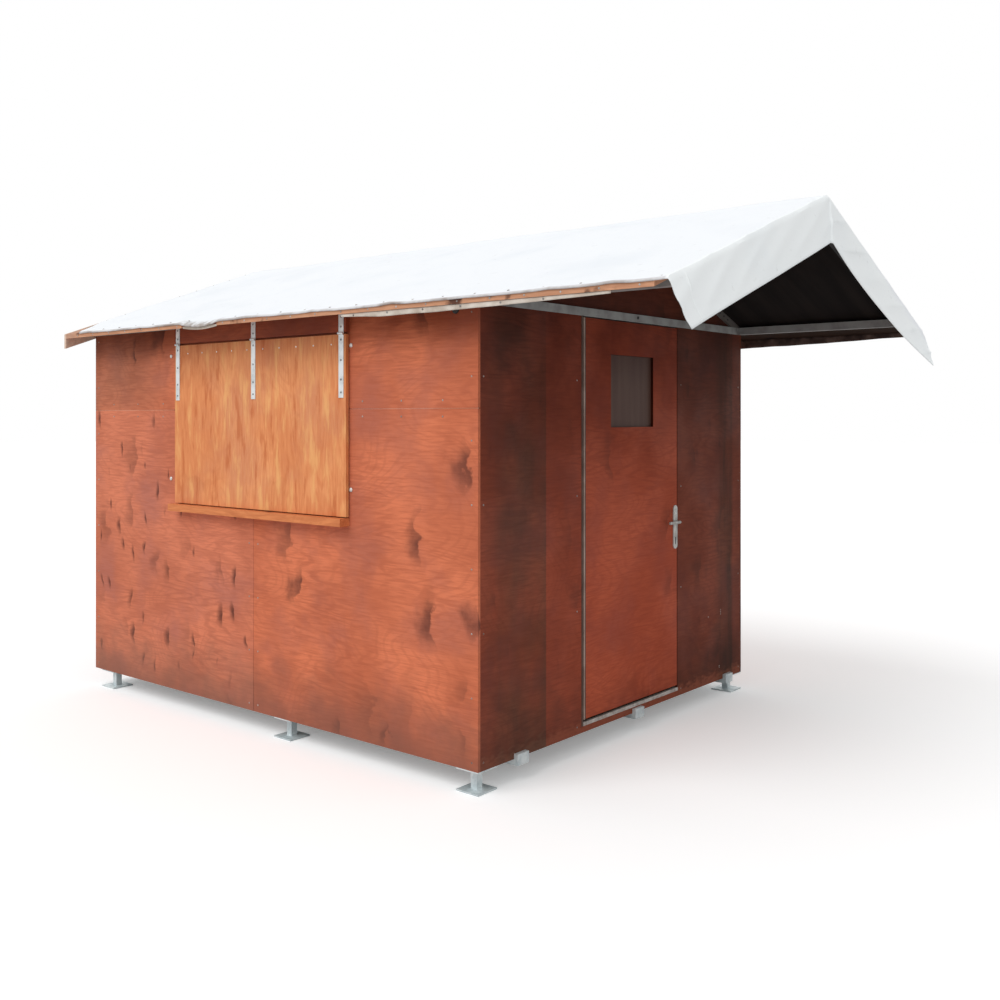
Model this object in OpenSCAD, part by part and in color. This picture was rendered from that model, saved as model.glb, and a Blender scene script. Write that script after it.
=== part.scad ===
// Plywood sales hut on steel feet, with a tarpaulin-covered gable roof that runs on as a canopy
// beyond the door end. The hatch side faces -Y and the door end faces +X.

/* [Plywood box] */
// Length of the box along the hatch side
house_l = 3000; // [2700:10:3600]
// Depth of the box along the door end
house_d = 2350; // [2100:10:2800]
// Thickness of the plywood
sheet_t = 15; // [9:1:21]
// Height of the lower row of sheets
seam_h = 1525; // [1400:5:1600]
// Place of the upright joint in the lower sheets of the long sides
seam_x = 1500; // [1300:10:1700]
// Open joint between two sheets
joint_gap = 3; // [1:0.5:6]

/* [Feet] */
// Height of the feet
foot_h = 100; // [90:5:200]
// Side of a foot's base plate and head plate
foot_plate_w = 125; // [90:5:150]
// Thickness of a base plate
foot_base_t = 8; // [5:1:12]
// Thickness of a head plate
foot_head_t = 5; // [4:1:10]
// Side of a foot's square stem
foot_stem_w = 35; // [25:1:60]
// Distance of the left feet from the left end
left_foot_inset = 70; // [0:5:150]
// Middle of the middle feet, from the left end
middle_foot_x = 1725; // [1300:5:1900]

/* [Floor] */
// Width of a floor bearer
bearer_w = 80; // [50:5:100]
// Height of a floor bearer
bearer_h = 50; // [40:1:60]
// How far the bearers hang below the wall sheets
bearer_drop = 27; // [10:1:35]
// How far the bearers stand out of the door end
bearer_out = 20; // [5:1:60]
// Middle of the first bearer, from the hatch side
bearer_first = 280; // [250:5:400]
// Middle of the last bearer, from the rear
bearer_last = 180; // [170:5:400]
// Width of a floor rail
rail_w = 60; // [58:1:80]
// Thickness of the floor boards
floor_t = 18; // [12:1:24]

/* [Steel frame] */
// Side of the square frame tube
tube = 40; // [30:1:40]
// How far the eave beams run on beyond the door end
beam_out = 950; // [600:10:950]

/* [Roof] */
// Pitch of the roof in degrees
roof_pitch = 20.2; // [15:0.1:26]
// Height of the rafters' top edge over the eave beams, at the wall's face
rafter_rise = 2; // [1:0.5:12]
// Thickness of the roof boards
board_t = 24; // [18:1:30]
// How far the roof boards stand out over the long sides
eave_out = 170; // [130:5:260]
// Width of the eave board on plan
eave_board_w = 110; // [80:5:125]
// How far the roof boards run past the left end
verge_out = 30; // [15:1:120]
// How far the roof boards run past the door end, over the canopy
canopy_l = 960; // [955:5:1300]
// Height of a verge board
verge_h = 84; // [50:1:140]
// Thickness of a verge board
verge_t = 20; // [12:1:30]
// Start of the broken-out stretch of the front eave board, from the left end
broken_x = 1125; // [600:5:1400]
// Length of the broken-out stretch
broken_l = 300; // [50:5:600]

/* [Tarpaulin] */
// Thickness of the tarpaulin with its folds
tarp_t = 3; // [1:0.5:5]
// Bare roof board between the left end and the tarpaulin
tarp_bare = 115; // [0:5:300]
// How far the tarpaulin stands out past the roof boards over the canopy
tarp_out = 58; // [10:1:120]
// Drop of the hem over the edge of the eave boards
hem_drop = 44; // [30:1:80]
// Width of the flaps that hang at the canopy's end
flap_w = 200; // [80:5:300]
// Lean of the flaps away from the canopy in degrees
flap_lean = 12; // [0:1:25]

/* [Hatch] */
// Left edge of the hatch flap, from the left end
hatch_x = 847; // [600:1:900]
// Width of the hatch flap
hatch_w = 1365; // [1200:5:1500]
// Drop of the flap's upper edge below the top of the wall
hatch_drop = 93; // [90:1:200]
// Height of the hatch flap
hatch_h = 848; // [700:1:860]
// Thickness of the hatch flap
hatch_t = 18; // [12:1:24]
// Lap of the flap over the edge of its opening
hatch_lap = 15; // [8:1:40]
// Clear space behind, over and under the closed flap
hatch_gap = 5; // [4:0.5:10]
// Height of the board over the hatch
header_h = 100; // [90:1:112]
// Width of a strap hinge
strap_w = 33; // [25:1:50]
// Thickness of a strap hinge
strap_t = 3; // [2:0.5:5]
// Length of the strap on the flap
strap_l = 300; // [150:5:400]
// Length of the leaf over the flap
leaf_l = 92; // [50:1:98]
// Distance of the outer strap hinges from the flap's edges
strap_inset = 30; // [20:1:150]
// Radius of a strap hinge's knuckle
knuckle_r = 6; // [5:0.5:8]
// Depth of the ledge under the hatch
ledge_out = 60; // [40:1:200]
// Height of the ledge
ledge_h = 37; // [20:1:60]
// How far the ledge runs past the flap at its left end
ledge_past = 12; // [0:1:60]
// Middle of the left hatch post, from the left edge of the flap
left_post_x = 68; // [20:1:120]
// Middle of the right hatch post, from the right edge of the flap
right_post_x = 11; // [6:1:120]

/* [Door] */
// Hinge edge of the doorway, from the hatch side
door_y = 744; // [500:1:900]
// Width of the hinge strip
hinge_strip_w = 14; // [10:1:30]
// Width of the door leaf
door_w = 857; // [800:1:900]
// Height of the door leaf
door_h = 1899; // [1700:1:2100]
// Foot of the door leaf over the foot of the wall
door_z = 60; // [60:1:80]
// Clear space at the door's hinge edge
door_gap = 5; // [4:0.5:8]
// Clear space over the door leaf, under the tie bar
head_gap = 6; // [5:0.5:60]
// Clear space at the door's lock edge
lock_gap = 7; // [6:0.5:12]
// Height of the plywood strip under the threshold
sill_h = 30; // [28:1:40]
// Height of the threshold strip
threshold_h = 17; // [10:1:20]
// How far the hinge strip and the threshold stand proud of the plywood
strip_proud = 2; // [1:0.5:3]
// Radius of the door hinge's knuckles
barrel_r = 4; // [3:0.5:6]
// Number of knuckles on the door hinge
barrel_count = 9; // [5:2:15]
// Side of the tubes behind the door leaf
door_tube = 30; // [20:1:35]
// Foot of the middle tube, over the foot of the leaf
middle_rail_z = 880; // [600:1:1000]
// Distance of those tubes from the edge of the leaf
door_tube_inset = 6; // [5:1:20]
// Hinge-side edge of the window, from the edge of the leaf
window_y = 231; // [150:1:300]
// Width of the window
window_w = 389; // [300:1:400]
// Drop of the window below the head of the leaf
window_drop = 166; // [60:1:250]
// Height of the window
window_h = 356; // [300:1:380]
// Thickness of the pane
pane_t = 4; // [3:0.5:6]
// Lap of the pane behind the edge of its opening
pane_lap = 12; // [6:1:25]

/* [Door handle] */
// Middle of the handle, from the lock edge of the leaf
handle_inset = 21; // [20:1:35]
// Width of the handle plate
plate_w = 40; // [30:1:40]
// Height of the handle plate
plate_h = 230; // [160:1:260]
// Thickness of the handle plate
plate_t = 5; // [3:0.5:8]
// Foot of the handle plate, over the foot of the leaf
plate_z = 729; // [600:1:800]
// Height of the lever over the middle of the plate
lever_rise = 27; // [0:1:50]
// Radius of the lever's grip
lever_r = 8; // [6:0.5:10]
// Length of the lever's grip
lever_l = 98; // [60:1:130]
// How far the grip stands out from the plate
lever_out = 26; // [20:1:60]
// Radius of the spindle
spindle_r = 5; // [4:0.5:7]

/* [Hidden] */
$fn = 48;

// Clearances and small allowances
soft_gap = 0.3;
board_gap = 0.3;
pin_gap = 0.08;
notch_gap = 0.5;
ridge_gap = 1;
past = 1;

// Heights
wall_h = door_z + door_h + head_gap;
wall_top = foot_h + wall_h;
seam_z = foot_h + seam_h;
lower_z1 = seam_z - joint_gap / 2;
upper_z0 = seam_z + joint_gap / 2;
beam_top = wall_top + tube;
bearer_bottom = foot_h - bearer_drop;
rail_top = bearer_bottom + bearer_h;
floor_top = rail_top + floor_t;

// Places on plan
mid_y = house_d / 2;
inner = sheet_t + tube;
last_bearer_y = house_d - bearer_last;
bearer_ys = [bearer_first, (bearer_first + last_bearer_y) / 2, last_bearer_y];
right_foot_x = house_l - foot_plate_w;

// Roof: the rafters' top plane, and planes over it
slope = tan(roof_pitch);
rafter_drop = tube / cos(roof_pitch);
function roof_z(y, over = 0) = beam_top + rafter_rise + y * slope + over / cos(roof_pitch);
board_top = board_gap + board_t;
tarp_under = board_top + soft_gap;
tarp_top = tarp_under + tarp_t;
rafter_xs = [0, (house_l - tube) / 2, house_l - tube, house_l + beam_out - tube];
board_end = house_l + canopy_l;
tarp_end = board_end + tarp_out;
hem_y = -eave_out - soft_gap - tarp_t;
rafter_foot_y = (rafter_drop - rafter_rise) / slope;

// Hatch
hatch_z1 = wall_top - hatch_drop;
hatch_z0 = hatch_z1 - hatch_h;
hatch_x1 = hatch_x + hatch_w;
hatch_face = -hatch_gap - hatch_t;
hatch_axis_y = hatch_face - knuckle_r;
hatch_axis_z = hatch_z1 + hatch_gap;
hatch_hole = [hatch_x + hatch_lap, hatch_x1 - hatch_lap, hatch_z0 + hatch_lap, hatch_z1 - hatch_lap];
strap_xs = [hatch_x + strap_inset, hatch_x + hatch_w / 2, hatch_x1 - strap_inset];
strap_clear = knuckle_r + 1;
finger_gap = 0.4;
hatch_post_xs = [hatch_x - left_post_x - tube / 2, hatch_x1 + right_post_x - tube / 2];

// Door
strip_y1 = door_y + hinge_strip_w;
leaf_y0 = strip_y1 + door_gap;
leaf_y1 = leaf_y0 + door_w;
doorway_y1 = leaf_y1 + lock_gap;
leaf_z0 = foot_h + door_z;
leaf_z1 = leaf_z0 + door_h;
leaf_back = house_l - sheet_t;
sill_top = foot_h + sill_h;
door_axis_x = house_l + barrel_r;
door_axis_y = strip_y1 + door_gap / 2;
pin_r = barrel_r / 2;
barrel_l = door_h / barrel_count;
barrel_gap = 0.5;
strip_edge = door_axis_y - barrel_r - barrel_gap;
plate_edge = door_axis_y + barrel_r + barrel_gap;
window_y0 = leaf_y0 + window_y;
window_z0 = leaf_z1 - window_drop - window_h;
handle_y = leaf_y1 - handle_inset;
plate_mid_z = leaf_z0 + plate_z + plate_h / 2;
lever_z = plate_mid_z + lever_rise;

// The origin lies on the ground under the middle of the object's box
flap_reach = flap_w * sin(flap_lean) + tarp_t * cos(flap_lean);
mid_x = (tarp_end + soft_gap + flap_reach - verge_out - verge_t) / 2;

// Puts a piece drawn from the box's front left corner into the part's own frame
module place() {
    translate([-mid_x, -mid_y, 0]) children();
}

// A block between two corners
module block(a, b) {
    translate(a) cube(b - a);
}

// A plate with an outline in Y and Z, from one X to another
module upright(x0, x1, points) {
    translate([x0, 0, 0]) rotate([90, 0, 90]) linear_extrude(x1 - x0) polygon(points);
}

// The same piece on the rear half of the roof
module rear_half() {
    translate([0, house_d, 0]) mirror([0, 1, 0]) children();
}

module foot(x, y) {
    stem = (foot_plate_w - foot_stem_w) / 2;
    translate([x, y, 0]) {
        cube([foot_plate_w, foot_plate_w, foot_base_t]);
        translate([stem, stem, 0]) cube([foot_stem_w, foot_stem_w, foot_h]);
        translate([0, 0, foot_h - foot_head_t]) cube([foot_plate_w, foot_plate_w, foot_head_t]);
    }
}

module feet_row(y) {
    for (x = [left_foot_inset, middle_foot_x - foot_plate_w / 2, right_foot_x]) foot(x, y);
}

module front_feet() {
    color("lightgray") place() feet_row(0);
}

module rear_feet() {
    color("lightgray") place() feet_row(house_d - foot_plate_w);
}

// Bearers, from the left wall out through the door end
module bearers(x1, room = 0) {
    for (y = bearer_ys)
        block([sheet_t, y - bearer_w / 2 - room, bearer_bottom - room],
            [x1, y + bearer_w / 2 + room, rail_top + room]);
}

module floor_bearers() {
    color("lightgray") place() bearers(house_l + bearer_out);
}

module floor_side_rails() {
    color("lightgray") place()
        for (y = [sheet_t, house_d - sheet_t - rail_w])
            block([sheet_t, y, foot_h], [leaf_back, y + rail_w, rail_top]);
}

// Short rails welded between the side rails and the bearers
module floor_cross_rails() {
    starts = concat([sheet_t + rail_w], [for (y = bearer_ys) y + bearer_w / 2]);
    ends = concat([for (y = bearer_ys) y - bearer_w / 2], [house_d - sheet_t - rail_w]);
    color("lightgray") place()
        for (x = [sheet_t, leaf_back - rail_w], i = [0:len(starts) - 1])
            block([x, starts[i], foot_h], [x + rail_w, ends[i], rail_top]);
}

module floor_boards() {
    color("peru") place()
        block([inner, inner, rail_top], [house_l - inner, house_d - inner, floor_top]);
}

module post(x, y) {
    block([x, y, rail_top], [x + tube, y + tube, wall_top]);
}

module corner_posts() {
    color("gray") place()
        for (x = [sheet_t, house_l - inner], y = [sheet_t, house_d - inner]) post(x, y);
}

// Posts beside the hatch and behind the rear sheets' joint
module side_posts() {
    color("gray") place() {
        for (x = hatch_post_xs) post(x, sheet_t);
        post(seam_x - tube / 2, house_d - inner);
    }
}

module door_posts() {
    color("gray") place() {
        post(leaf_back - tube, strip_y1 - tube);
        post(leaf_back - tube, doorway_y1);
    }
}

module hatch_sill_rail() {
    color("gray") place()
        block([hatch_post_xs[0] + tube, sheet_t, hatch_hole[2] - tube],
            [hatch_post_xs[1], inner, hatch_hole[2]]);
}

// A sheet of the front wall with its share of the hatch opening cut away
module front_sheet(x0, x1, z0, z1) {
    place() difference() {
        block([x0, 0, z0], [x1, sheet_t, z1]);
        block([hatch_hole[0], -past, hatch_hole[2]], [hatch_hole[1], sheet_t + past, hatch_hole[3]]);
    }
}

module front_sheet_left() {
    color("sienna") front_sheet(0, seam_x - joint_gap / 2, foot_h, lower_z1);
}

module front_sheet_right() {
    color("sienna") front_sheet(seam_x + joint_gap / 2, house_l, foot_h, lower_z1);
}

module front_sheet_upper() {
    color("sienna") front_sheet(0, house_l, upper_z0, wall_top);
}

module rear_sheet(x0, x1, z0, z1) {
    place() block([x0, house_d - sheet_t, z0], [x1, house_d, z1]);
}

module rear_sheet_left() {
    color("sienna") rear_sheet(0, seam_x - joint_gap / 2, foot_h, lower_z1);
}

module rear_sheet_right() {
    color("sienna") rear_sheet(seam_x + joint_gap / 2, house_l, foot_h, lower_z1);
}

module rear_sheet_upper() {
    color("sienna") rear_sheet(0, house_l, upper_z0, wall_top);
}

module left_sheet(z0, z1) {
    place() block([0, sheet_t, z0], [sheet_t, house_d - sheet_t, z1]);
}

module left_sheet_lower() {
    color("sienna") left_sheet(foot_h, lower_z1);
}

module left_sheet_upper() {
    color("sienna") left_sheet(upper_z0, wall_top);
}

// Plywood of the door end, notched at its foot round the bearers
module door_end_sheet(y0, y1, z1) {
    place() difference() {
        block([leaf_back, y0, foot_h], [house_l, y1, z1]);
        bearers(house_l + past, notch_gap);
    }
}

module door_end_sheet_front() {
    color("saddlebrown") door_end_sheet(sheet_t, door_y, wall_top);
}

module door_end_sheet_rear() {
    color("saddlebrown") door_end_sheet(doorway_y1, house_d - sheet_t, wall_top);
}

module door_sill_strip() {
    color("saddlebrown") door_end_sheet(door_y, doorway_y1, sill_top);
}

// Plywood triangles between the tie bars, the rafters and the ridge beam
module gable_panels() {
    foot_y = rafter_foot_y + soft_gap;
    peak_y = mid_y - tube / 2;
    peak_z = roof_z(peak_y) - rafter_drop - soft_gap;
    outline = [[foot_y, beam_top], [house_d - foot_y, beam_top],
        [mid_y + tube / 2, peak_z], [peak_y, peak_z]];
    color("saddlebrown") place()
        for (x = [0, house_l - tube])
            upright(x + (tube - sheet_t) / 2, x + (tube + sheet_t) / 2, outline);
}

module eave_beams() {
    color("gray") place()
        for (y = [0, house_d - tube])
            block([0, y, wall_top], [house_l + beam_out, y + tube, beam_top]);
}

module tie_bars() {
    color("gray") place()
        for (x = [0, house_l - tube])
            block([x, tube, wall_top], [x + tube, house_d - tube, beam_top]);
}

module ridge_beam() {
    top = roof_z(mid_y - tube / 2);
    color("gray") place()
        block([0, mid_y - tube / 2, top - tube], [house_l + beam_out, mid_y + tube / 2, top]);
}

// Rafters of one slope, cut level over the eave beam and plumb at the ridge beam
module rafters() {
    head_y = mid_y - tube / 2;
    outline = [[0, beam_top], [rafter_foot_y, beam_top], [head_y, roof_z(head_y) - rafter_drop],
        [head_y, roof_z(head_y)], [0, roof_z(0)]];
    for (x = rafter_xs) upright(x, x + tube, outline);
}

module front_rafters() {
    color("gray") place() rafters();
}

module rear_rafters() {
    color("gray") place() rear_half() rafters();
}

// A plumb-cut strip of one roof slope between two distances from the front wall
module slope_strip(x0, x1, y0, y1, under, over) {
    upright(x0, x1, [[y0, roof_z(y0, under)], [y1, roof_z(y1, under)],
        [y1, roof_z(y1, over)], [y0, roof_z(y0, over)]]);
}

module roof_boards() {
    slope_strip(-verge_out, board_end, eave_board_w - eave_out + notch_gap, mid_y - ridge_gap / 2,
        board_gap, board_top);
}

module roof_boards_front() {
    color("burlywood") place() roof_boards();
}

module roof_boards_rear() {
    color("burlywood") place() rear_half() roof_boards();
}

module eave_board(x0, x1) {
    slope_strip(x0, x1, -eave_out, eave_board_w - eave_out, board_gap, board_top);
}

// The front board has lost a length, so it is in two pieces
module eave_boards() {
    color("sandybrown") place() {
        eave_board(-verge_out, broken_x);
        eave_board(broken_x + broken_l, board_end);
        rear_half() eave_board(-verge_out, board_end);
    }
}

module verge_board() {
    under = board_top - verge_h * cos(roof_pitch);
    slope_strip(-verge_out - verge_t, -verge_out, -eave_out, mid_y - ridge_gap / 2, under, board_top);
}

module verge_boards() {
    color("tan") place() {
        verge_board();
        rear_half() verge_board();
    }
}

// One sheet over both slopes, turned down over the eave boards
module roof_tarp() {
    hem_foot = roof_z(hem_y, tarp_top) - hem_drop;
    inner_y = hem_y + tarp_t;
    half = [[mid_y, roof_z(mid_y, tarp_top)], [hem_y, roof_z(hem_y, tarp_top)], [hem_y, hem_foot],
        [inner_y, hem_foot], [inner_y, roof_z(inner_y, tarp_under)], [mid_y, roof_z(mid_y, tarp_under)]];
    color("white") place() {
        upright(tarp_bare, tarp_end, half);
        rear_half() upright(tarp_bare, tarp_end, half);
    }
}

// A strip of tarpaulin that hangs from the rake and leans outwards, cut plumb at the ridge
module gable_flap() {
    rake_l = (mid_y - hem_y) / cos(roof_pitch);
    past_ridge = flap_w * sin(roof_pitch);
    difference() {
        translate([tarp_end + soft_gap, hem_y, roof_z(hem_y, tarp_top)])
            rotate([roof_pitch, 0, 0]) rotate([0, -flap_lean, 0])
                translate([0, 0, -flap_w]) cube([tarp_t, rake_l, flap_w]);
        block([tarp_end - tarp_out, mid_y - ridge_gap, roof_z(0)],
            [tarp_end + flap_w, mid_y + past_ridge, roof_z(mid_y, tarp_top) + flap_w]);
    }
}

module gable_flaps() {
    color("whitesmoke") place() {
        gable_flap();
        rear_half() gable_flap();
    }
}

module hatch_header() {
    color("maroon") place()
        block([hatch_x, hatch_face, hatch_axis_z + hatch_gap],
            [hatch_x1, 0, hatch_axis_z + hatch_gap + header_h]);
}

module hatch_ledge() {
    top = hatch_z0 - hatch_gap - past;
    color("sandybrown") place()
        block([hatch_x - ledge_past, -ledge_out, top - ledge_h], [hatch_x1, 0, top]);
}

// Fixed leaf of a strap hinge: a plate over the flap, two outer knuckles and the pin
module hinge_leaf(x) {
    finger = strap_w / 3;
    translate([x - strap_w / 2, 0, hatch_axis_z]) {
        block([0, hatch_face - strap_t, strap_clear], [strap_w, hatch_face, strap_clear + leaf_l]);
        for (dx = [0, strap_w - finger]) {
            block([dx, hatch_face - strap_t, 0], [dx + finger, hatch_face, strap_clear]);
            translate([dx, hatch_axis_y, 0]) rotate([0, 90, 0]) cylinder(r = knuckle_r, h = finger);
        }
        translate([0, hatch_axis_y, 0]) rotate([0, 90, 0]) cylinder(r = knuckle_r / 2, h = strap_w);
    }
}

module hatch_hinge_leaves() {
    color("gainsboro") place() for (x = strap_xs) hinge_leaf(x);
}

// Strap of a hinge, with the middle knuckle bored for the pin
module hinge_strap(x) {
    finger = strap_w / 3;
    x0 = finger + finger_gap;
    x1 = 2 * finger - finger_gap;
    translate([x - strap_w / 2, 0, hatch_axis_z]) difference() {
        union() {
            block([0, hatch_face - strap_t, -strap_l], [strap_w, hatch_face, -strap_clear]);
            block([x0, hatch_face - strap_t, -strap_clear - past], [x1, hatch_face, 0]);
            translate([x0, hatch_axis_y, 0]) rotate([0, 90, 0]) cylinder(r = knuckle_r, h = x1 - x0);
        }
        translate([0, hatch_axis_y, 0]) rotate([0, 90, 0])
            cylinder(r = knuckle_r / 2 + pin_gap, h = strap_w);
    }
}

module hatch_straps() {
    color("gainsboro") place() for (x = strap_xs) hinge_strap(x);
}

module hatch_flap() {
    color("chocolate") place()
        block([hatch_x, hatch_face, hatch_z0], [hatch_x1, -hatch_gap, hatch_z1]);
}

// One knuckle of the door hinge and the web that joins it to its side of the gap
module door_knuckle(i, web_y0, web_y1) {
    z0 = leaf_z0 + i * barrel_l + barrel_gap;
    z1 = leaf_z0 + (i + 1) * barrel_l - barrel_gap;
    translate([door_axis_x, door_axis_y, z0]) cylinder(r = barrel_r, h = z1 - z0);
    block([house_l, web_y0, z0], [house_l + strip_proud, web_y1, z1]);
}

// Galvanised strip on the hinge side of the doorway, with every other knuckle and the pin
module door_hinge_strip() {
    color("lightgray") place() {
        block([leaf_back, door_y, sill_top], [house_l, strip_y1, wall_top]);
        block([house_l, door_y, sill_top], [house_l + strip_proud, strip_edge, wall_top]);
        for (i = [0:2:barrel_count - 1]) door_knuckle(i, strip_edge - past, door_axis_y);
        translate([door_axis_x, door_axis_y, leaf_z0 + barrel_gap])
            cylinder(r = pin_r, h = door_h - 2 * barrel_gap);
    }
}

// Hinge leaf on the door's face, with the knuckles that turn on the pin
module door_hinge_knuckles() {
    color("lightgray") place() difference() {
        union() {
            block([house_l, plate_edge, leaf_z0], [house_l + strip_proud, leaf_y0 + hinge_strip_w, leaf_z1]);
            for (i = [1:2:barrel_count - 2]) door_knuckle(i, door_axis_y, plate_edge + past);
        }
        translate([door_axis_x, door_axis_y, leaf_z0]) cylinder(r = pin_r + pin_gap, h = door_h);
    }
}

module door_threshold() {
    color("lightgray") place()
        block([leaf_back, strip_y1, sill_top], [house_l + strip_proud, doorway_y1, sill_top + threshold_h]);
}

// A hole along X for the lever's spindle
module spindle_hole(room) {
    translate([leaf_back - door_tube - past - plate_t, handle_y, lever_z]) rotate([0, 90, 0])
        cylinder(r = spindle_r + room, h = sheet_t + door_tube + 2 * (plate_t + past));
}

module door_leaf() {
    color("saddlebrown") place() difference() {
        block([leaf_back, leaf_y0, leaf_z0], [house_l, leaf_y1, leaf_z1]);
        block([leaf_back - past, window_y0, window_z0],
            [house_l + past, window_y0 + window_w, window_z0 + window_h]);
        spindle_hole(past);
    }
}

// Upright tubes behind the leaf
module door_stiles() {
    color("gray") place() difference() {
        for (y = [leaf_y0 + door_tube_inset, leaf_y1 - door_tube_inset - door_tube])
            block([leaf_back - door_tube, y, leaf_z0 + door_tube_inset],
                [leaf_back, y + door_tube, leaf_z1 - door_tube_inset]);
        spindle_hole(past);
    }
}

// Level tubes between the stiles, at the foot, the middle and the head of the leaf
module door_rails() {
    y0 = leaf_y0 + door_tube_inset + door_tube;
    y1 = leaf_y1 - door_tube_inset - door_tube;
    low = leaf_z0 + door_tube_inset;
    high = leaf_z1 - door_tube_inset - door_tube;
    color("gray") place()
        for (z = [low, leaf_z0 + middle_rail_z, high])
            block([leaf_back - door_tube, y0, z], [leaf_back, y1, z + door_tube]);
}

module door_window() {
    color("darkslategray") place()
        block([leaf_back - pane_t, window_y0 - pane_lap, window_z0 - pane_lap],
            [leaf_back, window_y0 + window_w + pane_lap, window_z0 + window_h + pane_lap]);
}

// A round-ended plate standing in Y and Z
module handle_plate(x) {
    r = plate_w / 2;
    reach = plate_h / 2 - r;
    translate([x, handle_y, plate_mid_z]) {
        block([0, -r, -reach], [plate_t, r, reach]);
        for (dz = [-reach, reach]) translate([0, 0, dz]) rotate([0, 90, 0]) cylinder(r = r, h = plate_t);
    }
}

module handle_plates() {
    color("silver") place() difference() {
        for (x = [house_l, leaf_back - door_tube - plate_t]) handle_plate(x);
        spindle_hole(pin_gap);
    }
}

// One lever: a neck that stands out from its plate, and a grip that runs back over the leaf
module lever_arm(face, side) {
    grip_x = face + side * lever_out;
    translate([min(face, grip_x), handle_y, lever_z]) rotate([0, 90, 0]) cylinder(r = lever_r, h = lever_out);
    translate([grip_x, handle_y, lever_z]) sphere(r = lever_r);
    translate([grip_x, handle_y, lever_z]) rotate([90, 0, 0]) cylinder(r = lever_r, h = lever_l);
    translate([grip_x, handle_y - lever_l, lever_z]) sphere(r = lever_r);
}

module door_lever() {
    outer_face = house_l + plate_t + soft_gap;
    inner_face = leaf_back - door_tube - plate_t - soft_gap;
    color("silver") place() {
        lever_arm(outer_face, 1);
        lever_arm(inner_face, -1);
        translate([inner_face, handle_y, lever_z]) rotate([0, 90, 0])
            cylinder(r = spindle_r, h = outer_face - inner_face);
    }
}

front_feet();
rear_feet();
floor_bearers();
floor_side_rails();
floor_cross_rails();
floor_boards();
corner_posts();
side_posts();
door_posts();
hatch_sill_rail();
front_sheet_left();
front_sheet_right();
front_sheet_upper();
rear_sheet_left();
rear_sheet_right();
rear_sheet_upper();
left_sheet_lower();
left_sheet_upper();
door_end_sheet_front();
door_end_sheet_rear();
door_sill_strip();
gable_panels();
eave_beams();
tie_bars();
ridge_beam();
front_rafters();
rear_rafters();
roof_boards_front();
roof_boards_rear();
eave_boards();
verge_boards();
roof_tarp();
gable_flaps();
hatch_header();
hatch_ledge();
hatch_hinge_leaves();
hatch_flap();
hatch_straps();
door_hinge_strip();
door_threshold();
door_leaf();
door_stiles();
door_rails();
door_window();
door_hinge_knuckles();
handle_plates();
door_lever();
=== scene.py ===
import bpy
import math
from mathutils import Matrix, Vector, noise


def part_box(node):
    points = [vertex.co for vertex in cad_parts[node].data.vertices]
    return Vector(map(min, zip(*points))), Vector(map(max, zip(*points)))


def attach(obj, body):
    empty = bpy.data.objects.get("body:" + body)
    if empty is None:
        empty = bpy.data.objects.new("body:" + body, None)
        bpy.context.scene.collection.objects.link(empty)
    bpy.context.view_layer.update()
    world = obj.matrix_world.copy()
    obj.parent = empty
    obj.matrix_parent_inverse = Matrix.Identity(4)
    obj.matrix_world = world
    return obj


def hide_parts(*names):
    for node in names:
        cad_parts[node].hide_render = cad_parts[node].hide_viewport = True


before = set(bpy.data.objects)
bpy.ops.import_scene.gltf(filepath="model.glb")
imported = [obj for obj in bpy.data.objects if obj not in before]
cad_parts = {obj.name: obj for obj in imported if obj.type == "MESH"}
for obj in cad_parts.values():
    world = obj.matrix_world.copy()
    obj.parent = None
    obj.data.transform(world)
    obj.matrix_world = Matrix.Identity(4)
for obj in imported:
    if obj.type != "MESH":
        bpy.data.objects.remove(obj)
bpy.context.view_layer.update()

# Stage
# A plain pale floor under a soft sky and one wide key lamp, seen from the photograph's place: eye
# height, turned to the near corner, with the frame shifted so that uprights stay upright.
corner = Vector(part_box("front_sheet_left")[0])
corner.z = 0.0


def from_corner(x, y, z):
    """A point measured in metres from the hut's front left corner on the ground."""
    return corner + Vector((x, y, z))


def put(tree, kind, values=None, **settings):
    """Adds a shader node; values are numbers, or sockets to link from."""
    node = tree.nodes.new(kind)
    for name, setting in settings.items():
        setattr(node, name, setting)
    for socket, value in (values or {}).items():
        if isinstance(value, bpy.types.NodeSocket):
            tree.links.new(value, node.inputs[socket])
        else:
            node.inputs[socket].default_value = value
    return node


def work_out(tree, operation, *values, **settings):
    """The result of a math node."""
    return put(tree, "ShaderNodeMath", dict(enumerate(values)), operation=operation, **settings).outputs[0]


eye = from_corner(5.962, -3.430, 1.59)
eye_turn = math.radians(39.65)
photo_side = 1000.0
lens_pixels = 1084.6
horizon_pixel = 416.5
camera_data = bpy.data.cameras.new("photo_camera")
camera_data.sensor_width = 36.0
camera_data.lens = lens_pixels / photo_side * camera_data.sensor_width
camera_data.shift_y = (horizon_pixel - photo_side / 2) / photo_side
camera_data.clip_end = 200.0
camera = bpy.data.objects.new("photo_camera", camera_data)
camera.location = eye
camera.rotation_euler = (math.pi / 2, 0.0, eye_turn)
bpy.context.collection.objects.link(camera)
bpy.context.scene.camera = camera
bpy.context.scene.view_settings.view_transform = "Standard"

key_data = bpy.data.lights.new("soft_key", "SUN")
key_data.energy = 1.3
key_data.angle = math.radians(45)
key = bpy.data.objects.new("soft_key", key_data)
key_path = Vector((0.12, 0.69, -0.71))
key.rotation_euler = key_path.to_track_quat("-Z", "Y").to_euler()
bpy.context.collection.objects.link(key)

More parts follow.
